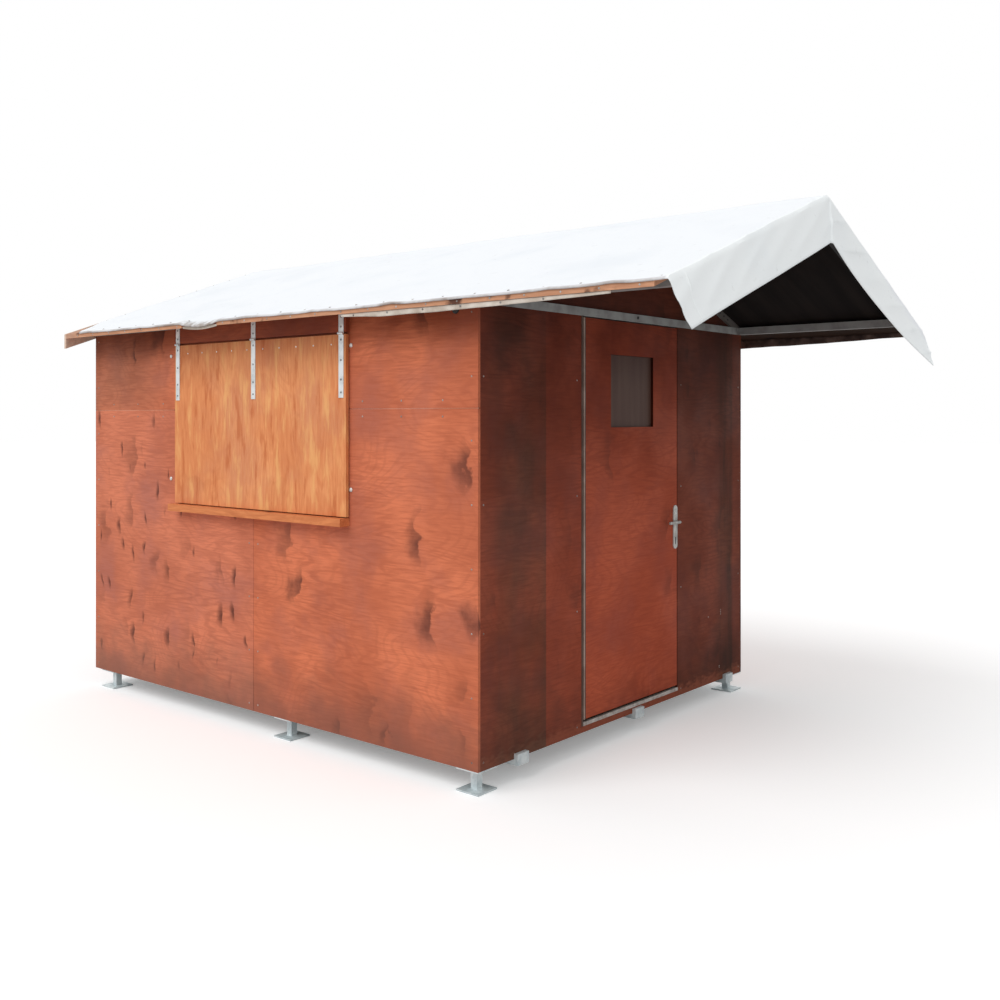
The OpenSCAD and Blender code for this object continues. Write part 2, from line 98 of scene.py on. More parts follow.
white = (1.0, 1.0, 1.0, 1.0)
sky_as_light = 0.66
sky_as_seen = 1.0
sky = bpy.data.worlds.new("soft_sky")
sky.use_nodes = True
bpy.context.scene.world = sky
sky_tree = sky.node_tree
sky_tree.nodes.clear()
sky_path = put(sky_tree, "ShaderNodeLightPath").outputs
sky_seen = work_out(sky_tree, "ADD", sky_path["Is Camera Ray"], sky_path["Is Glossy Ray"])
sky_through = work_out(sky_tree, "ADD", sky_seen, sky_path["Is Transmission Ray"], use_clamp=True)
sky_level = put(sky_tree, "ShaderNodeMapRange", {0: sky_through, 3: sky_as_light, 4: sky_as_seen})
sky_light = put(sky_tree, "ShaderNodeBackground", {0: white, 1: sky_level.outputs[0]})
put(sky_tree, "ShaderNodeOutputWorld", {0: sky_light.outputs[0]})

floor_half = 60.0
floor_as_light = 0.78
floor_as_seen = 0.96
floor_glow_seen = 0.22
floor_mesh = bpy.data.meshes.new("stage_floor")
floor_mesh.from_pydata([(-floor_half, -floor_half, 0), (floor_half, -floor_half, 0),
                        (floor_half, floor_half, 0), (-floor_half, floor_half, 0)], [], [(0, 1, 2, 3)])
stage_floor = bpy.data.objects.new("stage_floor", floor_mesh)
bpy.context.collection.objects.link(stage_floor)
floor_finish = bpy.data.materials.new("stage_floor")
floor_finish.use_nodes = True
floor_tree = floor_finish.node_tree
floor_tree.nodes.clear()
floor_seen = put(floor_tree, "ShaderNodeLightPath").outputs["Is Camera Ray"]
floor_tone = put(floor_tree, "ShaderNodeMapRange", {0: floor_seen, 3: floor_as_light, 4: floor_as_seen})
floor_paint = put(floor_tree, "ShaderNodeBsdfDiffuse", {0: floor_tone.outputs[0]})
floor_lift = work_out(floor_tree, "MULTIPLY", floor_seen, floor_glow_seen)
floor_glow = put(floor_tree, "ShaderNodeEmission", {0: white, 1: floor_lift})
floor_sum = put(floor_tree, "ShaderNodeAddShader", {0: floor_paint.outputs[0], 1: floor_glow.outputs[0]})
put(floor_tree, "ShaderNodeOutputMaterial", {0: floor_sum.outputs[0]})
floor_mesh.materials.append(floor_finish)

# Feet and floor steel
# Square stems between a base plate and a head plate, flat box bearers and rails, all welded and then
# hot-dip galvanised: a dull pale zinc with soft spangle, duller where it has weathered.


def stain(red, green, blue):
    """A colour in 0 to 255 steps as the shader's linear value."""
    def linear(step):
        c = step / 255
        return c / 12.92 if c <= 0.04045 else ((c + 0.055) / 1.055) ** 2.4
    return (linear(red), linear(green), linear(blue), 1.0)


def finish(name):
    """A material with one Principled shader, its tree, and the place on the piece."""
    material = bpy.data.materials.new(name)
    material.use_nodes = True
    tree = material.node_tree
    place = put(tree, "ShaderNodeTexCoord").outputs["Object"]
    return material, tree, tree.nodes["Principled BSDF"], place


def blend(tree, factor, low, high, mode="MIX"):
    """A colour between two, by a mask."""
    return put(tree, "ShaderNodeMix", {0: factor, 6: low, 7: high}, data_type="RGBA",
               blend_type=mode).outputs[2]


def span(tree, value, low, high, to_low=0.0, to_high=1.0):
    """A value moved smoothly from one range to another."""
    return put(tree, "ShaderNodeMapRange", {0: value, 1: low, 2: high, 3: to_low, 4: to_high},
               interpolation_type="SMOOTHSTEP").outputs[0]


def times(tree, a, b):
    """One mask or value scaled by another."""
    return work_out(tree, "MULTIPLY", a, b)


def mottle(tree, place, scale, detail=2.0, **values):
    """Soft noise over a piece, as a grey value first and as a colour."""
    return put(tree, "ShaderNodeTexNoise", {0: place, "Scale": scale, "Detail": detail, **values}).outputs


def effect(name, inputs, outputs):
    """A shader node group with named sockets."""
    group = bpy.data.node_groups.new(name, "ShaderNodeTree")
    for label, kind in inputs:
        group.interface.new_socket(label, in_out="INPUT", socket_type="NodeSocket" + kind)
    for label in outputs:
        group.interface.new_socket(label, in_out="OUTPUT", socket_type="NodeSocketFloat")
    start = group.nodes.new("NodeGroupInput")
    end = group.nodes.new("NodeGroupOutput")
    return group, start.outputs, end.inputs


def use(tree, group, values):
    """What an effect puts out, placed in a material."""
    return put(tree, "ShaderNodeGroup", values, node_tree=group).outputs


zinc_effect, zinc_in, zinc_out = effect("zinc_spangle", [("Place", "Vector")], ["Spangle", "Dull"])
zinc_cells = put(zinc_effect, "ShaderNodeTexVoronoi", {0: zinc_in["Place"], "Scale": 90.0})
zinc_grey = put(zinc_effect, "ShaderNodeRGBToBW", {0: zinc_cells.outputs["Color"]})
zinc_effect.links.new(zinc_grey.outputs[0], zinc_out["Spangle"])
zinc_cloud = mottle(zinc_effect, zinc_in["Place"], 14.0, 5.0)[0]
zinc_effect.links.new(span(zinc_effect, zinc_cloud, 0.38, 0.66), zinc_out["Dull"])
fleck_white = stain(228, 232, 234)
fleck_share = 0.22


def zinc(name, bright, dull):
    """Galvanised steel with pale flecks, rougher where it has gone dull."""
    material, tree, shader, place = finish(name)
    spangle = use(tree, zinc_effect, {"Place": place})
    tone = blend(tree, spangle["Dull"], bright, dull)
    fleck = span(tree, spangle["Spangle"], 0.2, 0.8, 0.0, fleck_share)
    tree.links.new(blend(tree, fleck, tone, fleck_white), shader.inputs["Base Color"])
    tree.links.new(span(tree, spangle["Dull"], 0.0, 1.0, 0.38, 0.58), shader.inputs["Roughness"])
    shader.inputs["Metallic"].default_value = 0.35
    return material


def dress(material, *nodes):
    """Gives a material to CAD nodes."""
    for name in nodes:
        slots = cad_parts[name].data.materials
        slots.clear()
        slots.append(material)


feet_zinc = zinc("feet_zinc", stain(224, 232, 233), stain(190, 201, 204))
dress(feet_zinc, "front_feet", "rear_feet", "floor_bearers", "floor_side_rails", "floor_cross_rails")

# Floor boards
# One layer of worn film-faced plywood, brown and scuffed. It is cut to fit inside the posts and laid
# on the bearers.
floor_wood, floor_wood_tree, floor_wood_shader, floor_wood_place = finish("floor_wood")
scuffs = span(floor_wood_tree, mottle(floor_wood_tree, floor_wood_place, 9.0, 8.0)[0], 0.35, 0.7)
floor_wood_tree.links.new(blend(floor_wood_tree, scuffs, stain(86, 58, 42), stain(132, 98, 74)),
                          floor_wood_shader.inputs["Base Color"])
floor_wood_shader.inputs["Roughness"].default_value = 0.7
dress(floor_wood, "floor_boards")

# Steel frame
# Square tube posts, beams, ties and rafters, welded and bolted, left in a dull grey primer. The ridge beam
# and rafters are near-black as painted shade under the roof, with a paler band where they pass the door
# end as painted light.
X, Y, Z = 0, 1, 2


def vectors(tree, operation, a, b):
    """The result of a vector math node."""
    return put(tree, "ShaderNodeVectorMath", {0: a, 1: b}, operation=operation).outputs[0]


def axes_of(tree, place):
    """A place's or a direction's three values."""
    return put(tree, "ShaderNodeSeparateXYZ", {0: place}).outputs


cloud_effect, cloud_in, cloud_out = effect(
    "soft_cloud",
    [("Place", "Vector"), ("Stretch", "Vector"), ("Low", "Float"), ("High", "Float")],
    ["Cloud"])
cloud_place = vectors(cloud_effect, "MULTIPLY", cloud_in["Place"], cloud_in["Stretch"])
cloud_noise = mottle(cloud_effect, cloud_place, 1.0, 6.0)[0]
cloud_level = span(cloud_effect, cloud_noise, 0.3, 0.7, cloud_in["Low"], cloud_in["High"])
cloud_effect.links.new(cloud_level, cloud_out["Cloud"])


def cloud(tree, place, stretch, low=0.0, high=1.0):
    """Soft cloudy patches between two values, finer along an axis with more stretch."""
    return use(tree, cloud_effect, {
        "Place": place, "Stretch": stretch, "Low": low, "High": high})["Cloud"]


def primer(name, pale, deep):
    """Dull primer or paint on steel, rougher where it is darker."""
    material, tree, shader, place = finish(name)
    mask = cloud(tree, place, (11.0, 11.0, 11.0))
    tree.links.new(blend(tree, mask, pale, deep), shader.inputs["Base Color"])
    tree.links.new(span(tree, mask, 0.0, 1.0, 0.45, 0.62), shader.inputs["Roughness"])
    shader.inputs["Metallic"].default_value = 0.15
    shader.inputs["Specular IOR Level"].default_value = 0.3
    return material


def colour_of(material):
    """A finish's tree, its colour socket, the tone that feeds it, and the place on the piece."""
    tree = material.node_tree
    socket = tree.nodes["Principled BSDF"].inputs["Base Color"]
    place = put(tree, "ShaderNodeTexCoord").outputs["Object"]
    return tree, socket, socket.links[0].from_socket, place


frame_steel = primer("frame_steel", stain(156, 156, 154), stain(132, 130, 128))
dress(frame_steel, "corner_posts", "side_posts", "door_posts", "hatch_sill_rail", "eave_beams",
      "tie_bars", "door_stiles", "door_rails")
# Ridge beam and rafters: near-black as painted shade under the roof; the paler band at the door end is
# painted light.
rafter_steel = primer("rafter_steel", stain(20, 18, 17), stain(14, 13, 12))
end_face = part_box("door_end_sheet_front")[1][X]
pale_reach = 0.06
pale_fade = 0.01
rafter_tree, rafter_socket, rafter_tone, rafter_place = colour_of(rafter_steel)
rafter_x = axes_of(rafter_tree, rafter_place)[X]
rafter_from = span(rafter_tree, rafter_x, end_face - pale_reach, end_face - pale_reach + pale_fade)
rafter_to = span(rafter_tree, rafter_x, end_face + pale_reach, end_face + pale_reach - pale_fade)
rafter_lit_band = times(rafter_tree, rafter_from, rafter_to)
rafter_tree.links.new(blend(rafter_tree, rafter_lit_band, rafter_tone, stain(98, 92, 88)), rafter_socket)
dress(rafter_steel, "ridge_beam", "front_rafters", "rear_rafters")

# Wall sheets
# Rotary-cut birch plywood, stained red-brown and screwed to the posts. The veneer's wavy figure shows
# through, it goes dark where the grain dips, and dirt splashes up from the ground.


def stretched(tree, place, scale):
    """A place drawn out, so that a pattern is finer along an axis with a larger number."""
    return put(tree, "ShaderNodeMapping", {0: place, 3: scale}).outputs[0]


ply_effect, ply_in, ply_out = effect(
    "veneer_figure", [("Place", "Vector")], ["Figure", "Fibre", "Dip", "Drip", "Cloud", "Cool"])
ply_place = ply_in["Place"]
wave_count = 110.0
ply_long = stretched(ply_effect, ply_place, (0.45, 2.6, 2.6))
ply_sway = mottle(ply_effect, ply_long, 1.7, 3.5, Distortion=0.35)[0]
ply_wave = work_out(ply_effect, "SINE", times(ply_effect, ply_sway, wave_count))
ply_ridge = span(ply_effect, ply_wave, -0.2, 1.0)
ply_strong = mottle(ply_effect, ply_place, 2.8, 2.0)[0]
ply_where = span(ply_effect, ply_strong, 0.36, 0.62, 0.2, 1.0)
ply_wave_line = times(ply_effect, ply_ridge, ply_where)
ring_count = 150.0
ply_loops = stretched(ply_effect, ply_place, (1.0, 2.1, 2.1))
ply_eddy = mottle(ply_effect, ply_loops, 1.3, 1.5)[0]
ply_rings = work_out(ply_effect, "SINE", times(ply_effect, ply_eddy, ring_count))
ply_ring_line = span(ply_effect, ply_rings, 0.1, 1.0, 0.0, 0.5)
ply_effect.links.new(work_out(ply_effect, "MAXIMUM", ply_wave_line, ply_ring_line), ply_out["Figure"])
ply_tint = mottle(ply_effect, ply_place, 3.4, 5.0)["Color"]
ply_effect.links.new(span(ply_effect, ply_tint, 0.44, 0.66), ply_out["Cool"])
ply_fine = stretched(ply_effect, ply_place, (9.0, 130.0, 130.0))
ply_effect.links.new(mottle(ply_effect, ply_fine, 1.0, 4.0, Roughness=0.6)[0], ply_out["Fibre"])
ply_cloud = mottle(ply_effect, ply_place, 2.3, 7.0)[0]
ply_effect.links.new(span(ply_effect, ply_cloud, 0.36, 0.66), ply_out["Cloud"])
front_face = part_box("front_sheet_left")[0][Y]
depth_shift = 1.7


def marks(bend, squeeze, scale, reach, share, edge):
    """Dark marks strewn over a sheet, each sharp at one side; those of the rear lie elsewhere."""
    bent = mottle(ply_effect, ply_place, 7.0, 4.0)["Color"]
    shift = vectors(ply_effect, "MULTIPLY", bent, (bend, bend, bend))
    moved = axes_of(ply_effect, vectors(ply_effect, "ADD", ply_place, shift))
    depth = axes_of(ply_effect, ply_place)[Y]
    aside = work_out(ply_effect, "MULTIPLY_ADD", depth, depth_shift, -depth_shift * front_face)
    flat = put(ply_effect, "ShaderNodeCombineXYZ", {
        0: work_out(ply_effect, "ADD", moved[X], aside),
        1: times(ply_effect, moved[Z], squeeze)}).outputs[0]
    cells = put(ply_effect, "ShaderNodeTexVoronoi", {0: flat, "Scale": scale},
                voronoi_dimensions="2D").outputs
    away = axes_of(ply_effect, vectors(ply_effect, "SUBTRACT", flat, cells["Position"]))
    pick = put(ply_effect, "ShaderNodeSeparateColor", {0: cells["Color"]}).outputs
    smaller = span(ply_effect, pick[1], 0.0, 1.0, 0.8, 1.9)
    near = span(ply_effect, times(ply_effect, cells["Distance"], smaller), 0.0, reach, 1.0, 0.0)
    sharp = span(ply_effect, away[X], edge, -edge * 0.4)
    some = span(ply_effect, pick[0], share, share + 0.3)
    return times(ply_effect, times(ply_effect, near, sharp), some)


ply_effect.links.new(
    marks(bend=0.26, squeeze=0.8, scale=3.5, reach=0.44, share=0.5, edge=0.010), ply_out["Dip"])
ply_effect.links.new(
    marks(bend=0.11, squeeze=0.6, scale=8.5, reach=0.36, share=0.5, edge=0.006), ply_out["Drip"])

dirt_effect, dirt_in, dirt_out = effect(
    "ground_splash", [("Place", "Vector"), ("Foot", "Float"), ("Reach", "Float")], ["Dirt", "Wear"])
dirt_place = dirt_in["Place"]
dirt_rise = work_out(dirt_effect, "SUBTRACT", axes_of(dirt_effect, dirt_place)[Z], dirt_in["Foot"])
dirt_part = work_out(dirt_effect, "DIVIDE", dirt_rise, dirt_in["Reach"])
dirt_uneven = work_out(dirt_effect, "ADD", dirt_part, mottle(dirt_effect, dirt_place, 7.0, 6.0)[0])
dirt_effect.links.new(span(dirt_effect, dirt_uneven, 0.35, 1.35, 1.0, 0.0), dirt_out["Dirt"])
chip_height = 0.14
chip_fade = 0.055
dirt_chips = mottle(dirt_effect, stretched(dirt_effect, dirt_place, (22.0, 22.0, 55.0)), 1.0, 6.0)[0]
dirt_band = work_out(dirt_effect, "MULTIPLY_ADD", dirt_chips, -chip_height, dirt_rise)
dirt_effect.links.new(span(dirt_effect, dirt_band, -chip_fade, 0.0, 1.0, 0.0), dirt_out["Wear"])

wall_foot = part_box("front_sheet_left")[0][Z]
wall_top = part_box("front_sheet_upper")[1][Z]
rear_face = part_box("rear_sheet_left")[1][Y]
left_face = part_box("left_sheet_lower")[0][X]
grain_level_x = (0.0, 0.0, 0.0)
grain_level_y = (0.0, 0.0, -math.pi / 2)
grain_upright = (0.0, math.pi / 2, 0.0)
bare_ply = stain(150, 84, 62)
grey_shift = (0.95, 1.2, 1.7)


def layered(tree, tone, layers):
    """A tone under layers of colour, each laid on by its own mask."""
    for mask, colour in layers:
        tone = blend(tree, mask, tone, colour)
    return tone


def stained_ply(name, pale, deep, dirt, turn, dip=0.85, drip=0.0, splash=0.55, reach=0.35, mud=None,
                wear=0.0):
    """Stained plywood whose grain lies along the turned X axis."""
    material, tree, shader, place = finish(name)
    turned = put(tree, "ShaderNodeMapping", {0: place, 2: turn}).outputs[0]
    veneer = use(tree, ply_effect, {"Place": turned})
    ground = use(tree, dirt_effect, {"Place": place, "Foot": wall_foot, "Reach": reach})
    greyed = (*(value * shift for value, shift in zip(deep, grey_shift)), 1.0)
    tone = layered(tree, pale, [
        (times(tree, veneer["Figure"], 0.45), deep),
        (times(tree, veneer["Cloud"], 0.5), deep),
        (times(tree, veneer["Cool"], 0.6), greyed),
        (span(tree, veneer["Fibre"], 0.4, 0.72, 0.0, 0.5), deep),
        (times(tree, veneer["Dip"], dip), dirt),
        (times(tree, veneer["Drip"], drip), dirt),
        (times(tree, ground["Dirt"], splash), mud or dirt),
        (times(tree, ground["Wear"], wear), bare_ply)])
    tree.links.new(tone, shader.inputs["Base Color"])
    tree.links.new(span(tree, veneer["Cloud"], 0.0, 1.0, 0.55, 0.7), shader.inputs["Roughness"])
    shader.inputs["Specular IOR Level"].default_value = 0.1
    height = put(tree, "ShaderNodeBump", {"Strength": 0.3, "Distance": 0.002, "Height": veneer["Fibre"]})
    tree.links.new(height.outputs[0], shader.inputs["Normal"])
    return material


def patch(material, edges, shade, low=0.7, stretch=(3.5, 3.5, 3.5)):
    """Tints a finish where soft edges meet; each is an axis, where it is clear and where full."""
    tree, socket, tone, place = colour_of(material)
    axes = axes_of(tree, place)
    mask = cloud(tree, place, stretch, low)
    for axis, clear, full in edges:
        mask = times(tree, mask, span(tree, axes[axis], clear, full))
    tree.links.new(blend(tree, mask, tone, (*shade, 1.0), "MULTIPLY"), socket)


# Painted shade: the end sheets darken upwards towards the eaves and the canopy.
shade_up_wall = (Z, 0.9, wall_top)
front_ply = stained_ply("front_ply", stain(222, 127, 90), stain(174, 92, 65), stain(98, 55, 46),
                        grain_level_x, splash=0.75, reach=0.45, mud=stain(132, 86, 72))
eave_shade = (Z, wall_top - 0.2, wall_top - 0.03)
left_shade = [(X, left_face + 1.0, left_face + 0.3), (Z, 1.35, 1.75)]
# The rear sheets' edges at the door end are darkened: painted shade under the canopy.
rear_edge_shade = [(X, end_face - 0.003, end_face - 0.001), (Y, 0.0, 0.2)]
patch(front_ply, [eave_shade], (0.42, 0.34, 0.29))
patch(front_ply, left_shade, (0.62, 0.74, 0.84))
patch(front_ply, rear_edge_shade, (0.13, 0.10, 0.09))
dress(front_ply, "front_sheet_right", "front_sheet_upper", "rear_sheet_right", "rear_sheet_upper")
drip_ply = stained_ply("drip_ply", stain(220, 130, 97), stain(174, 97, 73), stain(80, 42, 36),
                       grain_level_x, dip=0.4, drip=0.9, splash=0.75, reach=0.45, mud=stain(132, 92, 78))
dress(drip_ply, "front_sheet_left", "rear_sheet_left")
end_ply = stained_ply("end_ply", stain(166, 78, 52), stain(128, 56, 37), stain(74, 42, 33),
                      grain_level_y, dip=0.3, wear=0.5)
patch(end_ply, [shade_up_wall], (0.34, 0.30, 0.27))
dress(end_ply, "left_sheet_lower", "left_sheet_upper", "door_sill_strip")
zone_ply = stained_ply("zone_ply", stain(164, 78, 54), stain(126, 56, 38), stain(72, 44, 36),
                       grain_level_y, dip=0.3, drip=0.15, splash=0.6, reach=0.5, wear=0.55)
zone_edge = front_face + 0.47
zone_fade = 0.004
in_zone = (Y, zone_edge + zone_fade, zone_edge - zone_fade)
off_corner = (Y, front_face + 0.02, front_face + 0.2)
patch(zone_ply, [in_zone], (0.80, 0.96, 1.06), 0.5, (1.0, 11.0, 1.4))
patch(zone_ply, [in_zone, off_corner], (0.56, 0.80, 0.84), 0.0, (2.6, 2.6, 2.2))
patch(zone_ply, [shade_up_wall], (0.36, 0.30, 0.26))
dress(zone_ply, "door_end_sheet_front")
shade_ply = stained_ply("shade_ply", stain(136, 68, 48), stain(100, 47, 33), stain(56, 38, 31),
                        grain_level_y, dip=0.4, drip=0.3, splash=0.6, reach=0.5, wear=0.6)
rear_streak = [(Y, rear_face - 0.34, rear_face - 0.20), (Y, rear_face - 0.09, rear_face - 0.12)]
rear_edge = (Y, rear_face - 0.016, rear_face - 0.008)
patch(shade_ply, [shade_up_wall], (0.34, 0.36, 0.36))
patch(shade_ply, rear_streak, (0.50, 0.70, 0.72), 0.35, (1.0, 16.0, 1.6))
patch(shade_ply, [rear_edge], (0.34, 0.34, 0.34))
dress(shade_ply, "door_end_sheet_rear", "gable_panels")

# Screws, bolts and filler of the walls
# Small zinc screw heads along the sheets' edges, soft filler pressed into the joints between sheets,
# four coach bolts beside the hatch, a bolt in the tie bar, and a black cap over a cable hole.


def add_mesh(name, points, faces):
    """A smooth piece from points and faces."""
    mesh = bpy.data.meshes.new(name)
    mesh.from_pydata([tuple(p) for p in points], [], faces)
    for polygon in mesh.polygons:
        polygon.use_smooth = True
    piece = bpy.data.objects.new(name, mesh)
    bpy.context.collection.objects.link(piece)
    return piece


def give(piece, material, body):
    """Finishes a piece and puts it on a body and in a slot."""
    piece.data.materials.append(material)
    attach(piece, body)


def heads(name, spots, facing, head):
    """Many low domes joined in one mesh, facing outwards; a head is its radius, rise and sides."""
    radius, rise, sides = head
    turn = Vector(facing).to_track_quat("Z", "Y").to_matrix()
    rings = [(1.0, 0.0), (0.96, 0.45), (0.7, 0.82), (0.32, 0.98)]
    points = []
    faces = []
    for spot in spots:
        first = len(points)
        for share, up in rings:
            for i in range(sides):
                a = 2 * math.pi * i / sides
                local = Vector((radius * share * math.cos(a), radius * share * math.sin(a), rise * up))
                points.append(Vector(spot) + turn @ local)
        for ring in range(len(rings) - 1):
            for i in range(sides):
                j = (i + 1) % sides
                low = first + ring * sides
                faces.append((low + i, low + j, low + sides + j, low + sides + i))
        faces.append([first + (len(rings) - 1) * sides + i for i in range(sides)])
        faces.append([first + i for i in reversed(range(sides))])
    return add_mesh(name, points, faces)


to_front = (0, -1, 0)
to_rear = (0, 1, 0)
to_left = (-1, 0, 0)
to_right = (1, 0, 0)
seam_height = (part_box("front_sheet_left")[1][Z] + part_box("front_sheet_upper")[0][Z]) / 2
seam_place = (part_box("front_sheet_left")[1][X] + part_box("front_sheet_right")[0][X]) / 2
screw_head = (0.0046, 0.0016, 12)
screw_pitch = 0.29
screw_edge = 0.035
screw_zinc = zinc("screw_zinc", stain(172, 150, 138), stain(118, 96, 86))
end_zinc = zinc("end_zinc", stain(126, 98, 86), stain(92, 70, 62))


def row(low, high, pitch=screw_pitch):
    """Even steps from one end to the other, close to a pitch."""
    count = max(1, round((high - low) / pitch))
    return [low + (high - low) * i / count for i in range(count + 1)]


heights = row(wall_foot + screw_edge, wall_top - screw_edge)
front_columns = [left_face + screw_edge, seam_place - screw_edge,
                 seam_place + screw_edge, end_face - screw_edge]
below_hatch = 1.05
beside_hatch = 0.5
seam_start = 0.2
seam_end = 0.7
seam_columns = row(left_face + seam_start, left_face + seam_end)
seam_columns += row(end_face - seam_end, end_face - seam_start)
front_spots = [(x, front_face, z) for x in front_columns for z in heights
               if z < below_hatch or abs(x - seam_place) > beside_hatch]
front_spots += [(x, front_face, z) for x in seam_columns
                for z in (seam_height - screw_edge, seam_height + screw_edge)]
give(heads("front_screws", front_spots, to_front, screw_head), screw_zinc, "house")
rear_spots = [(x, rear_face, z) for x in front_columns for z in heights]
give(heads("rear_screws", rear_spots, to_rear, screw_head), screw_zinc, "house")
end_columns = [front_face + screw_edge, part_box("door_end_sheet_front")[1][Y] - screw_edge,
               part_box("door_end_sheet_rear")[0][Y] + screw_edge, rear_face - screw_edge]
end_spots = [(end_face, y, z) for y in end_columns for z in heights[::2]]
give(heads("door_end_screws", end_spots, to_right, screw_head), end_zinc, "house")
left_in = 0.05
left_pitch = 0.75
left_columns = row(front_face + left_in, rear_face - left_in, left_pitch)
left_spots = [(left_face, y, z) for y in left_columns for z in heights]
give(heads("left_end_screws", left_spots, to_left, screw_head), screw_zinc, "house")

hole_x0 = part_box("hatch_sill_rail")[0][X]
hole_x1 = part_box("hatch_sill_rail")[1][X]
hole_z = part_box("hatch_sill_rail")[1][Z]
joint_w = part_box("front_sheet_right")[0][X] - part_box("front_sheet_left")[1][X]
bead_in = 0.0028
bead_hollow = 0.002
bead_depth = 0.004
bead_steps = 5


def beads(name, lines, facing, material):
    """Soft filler pressed into the open joints, a little hollow between the sheets' edges."""
    out = Vector(facing)
    points = []
    faces = []
    for start, end in lines:
        side = (Vector(end) - Vector(start)).normalized().cross(out)
        first = len(points)
        for base in (Vector(start), Vector(end)):
            for k in range(bead_steps + 1):
                share = 2 * k / bead_steps - 1
                inwards = bead_in - bead_hollow * share * share
                points.append(base + side * (share * joint_w / 2) - out * inwards)
        for k in range(bead_steps):
            near = first + k
            far = near + bead_steps + 1
            faces.append((near, near + 1, far + 1, far))
    bead = add_mesh(name, points, faces)
    depth = bead.modifiers.new("depth", "SOLIDIFY")
    depth.thickness = bead_depth
    give(bead, material, "house")


joint_ply = stained_ply("joint_ply", stain(206, 126, 98), stain(164, 96, 74), stain(90, 52, 42),
                        grain_level_x, dip=0.0)
# The front level joints get a pale stain as a painted highlight; the upright joints stay darker.
joint_highlight = stained_ply("joint_highlight", stain(246, 192, 164), stain(214, 150, 122), stain(140, 90, 74),
                         grain_level_x, dip=0.0)
beads("front_level_beads", [((left_face, front_face, seam_height), (hole_x0, front_face, seam_height)),
                            ((hole_x1, front_face, seam_height), (end_face, front_face, seam_height))],
      to_front, joint_highlight)
beads("front_upright_bead", [((seam_place, front_face, wall_foot), (seam_place, front_face, hole_z))],
      to_front, joint_ply)
beads("rear_beads", [((left_face, rear_face, seam_height), (end_face, rear_face, seam_height)),
                     ((seam_place, rear_face, wall_foot), (seam_place, rear_face, seam_height))],
      to_rear, joint_ply)
beads("left_beads", [((left_face, front_face, seam_height), (left_face, rear_face, seam_height))],
      to_left, joint_ply)

flap_low, flap_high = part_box("hatch_flap")
bolt_head = (0.0105, 0.006, 20)
bolt_left = 0.068
bolt_right = 0.011
bolt_columns = [flap_low[X] - bolt_left, flap_high[X] + bolt_right]
bolt_heights = (1.25, 1.92)
bolt_spots = [(x, front_face, z) for x in bolt_columns for z in bolt_heights]
bolt_zinc = zinc("bolt_zinc", stain(226, 226, 222), stain(190, 190, 186))
give(heads("hatch_bolts", bolt_spots, to_front, bolt_head), bolt_zinc, "house")

cap_black, cap_tree, cap_shader, cap_place = finish("cap_black")
cap_speck = mottle(cap_tree, cap_place, 160.0)[0]
cap_tree.links.new(blend(cap_tree, cap_speck, stain(12, 12, 12), stain(26, 24, 23)),
                   cap_shader.inputs["Base Color"])
cap_shader.inputs["Roughness"].default_value = 0.5
tie_bolt_head = (0.008, 0.004, 16)
tie_bolt = from_corner(0.0, 1.238, 2.088)
tie_bolt.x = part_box("tie_bars")[1][X]
give(heads("tie_bolt", [tie_bolt], to_right, tie_bolt_head), cap_black, "house")
cap_head = (0.019, 0.008, 24)
cap_spot = from_corner(2.875, 0.0, 2.045)
give(heads("cable_cap", [cap_spot], to_front, cap_head), cap_black, "house")

# Holes and paint drops of the door end
# The rafters over the door end are punched tube; the holes are drawn as dark domes, painted shade inside
# them, and a few drops of white paint have run down the plywood near the rear corner.
roof_pitch = math.radians(20.2)
roof_slope = math.tan(roof_pitch)
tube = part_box("ridge_beam")[1][Y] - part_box("ridge_beam")[0][Y]
rafter_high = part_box("front_rafters")[1]
rafter_mid = rafter_high[Z] - 0.5 * tube / math.cos(roof_pitch)
punch_head = (0.006, 0.001, 12)
punch_pitch = 0.045
punch_eave = 0.16
punch_ridge = 0.05
punch_y = row(front_face + punch_eave, rafter_high[Y] - punch_ridge, punch_pitch)
punch_spots = [(end_face, y * side, rafter_mid - roof_slope * (rafter_high[Y] - y))
               for y in punch_y for side in (1, -1)]
# Dark domes as painted shade in the punched holes.
punch_hole_shade = primer("punch_hole_shade", stain(44, 40, 38), stain(30, 27, 26))
give(heads("punched_holes", punch_spots, to_right, punch_head), punch_hole_shade, "house")
drop_head = (0.0028, 0.0008, 10)
drop_step = 0.012
drop_run = [(2.105, 0.470 + drop_step * i) for i in range(3)]
lone_drops = [(1.962, 0.473), (2.088, 0.172), (2.088, 0.180)]
hut_length = end_face - left_face
paint_spots = [from_corner(hut_length, y, z) for y, z in drop_run + lone_drops]
paint_white = primer("paint_white", stain(214, 208, 200), stain(188, 178, 168))
give(heads("paint_drops", paint_spots, to_right, drop_head), paint_white, "house")

# Roof boards
# Rough boards on the rafters, near-black underneath as painted shade, with an orange-stained board along
# each eave that has spots of rot, the rear one darkened as painted shade, and bare weathered verge boards
# at the left end.
board_dark, board_tree, board_shader, board_place = finish("board_dark")
board_long = stretched(board_tree, board_place, (14.0, 1.5, 1.5))
board_mask = span(board_tree, mottle(board_tree, board_long, 1.0, 4.0)[0], 0.3, 0.7)
# Faces turned downwards get a near-black tone: painted shade under the roof.
board_facing = put(board_tree, "ShaderNodeTexCoord").outputs["Normal"]
board_up = span(board_tree, axes_of(board_tree, board_facing)[Z], 0.2, 0.6)
board_underside_shade = blend(board_tree, board_mask, stain(19, 15, 14), stain(31, 25, 23))
board_top_tone = blend(board_tree, board_mask, stain(176, 150, 128), stain(136, 108, 86))
board_tree.links.new(blend(board_tree, board_up, board_underside_shade, board_top_tone),
                     board_shader.inputs["Base Color"])
board_shader.inputs["Roughness"].default_value = 0.9
board_shader.inputs["Specular IOR Level"].default_value = 0.1
dress(board_dark, "roof_boards_front", "roof_boards_rear")
rot_fade = 0.1


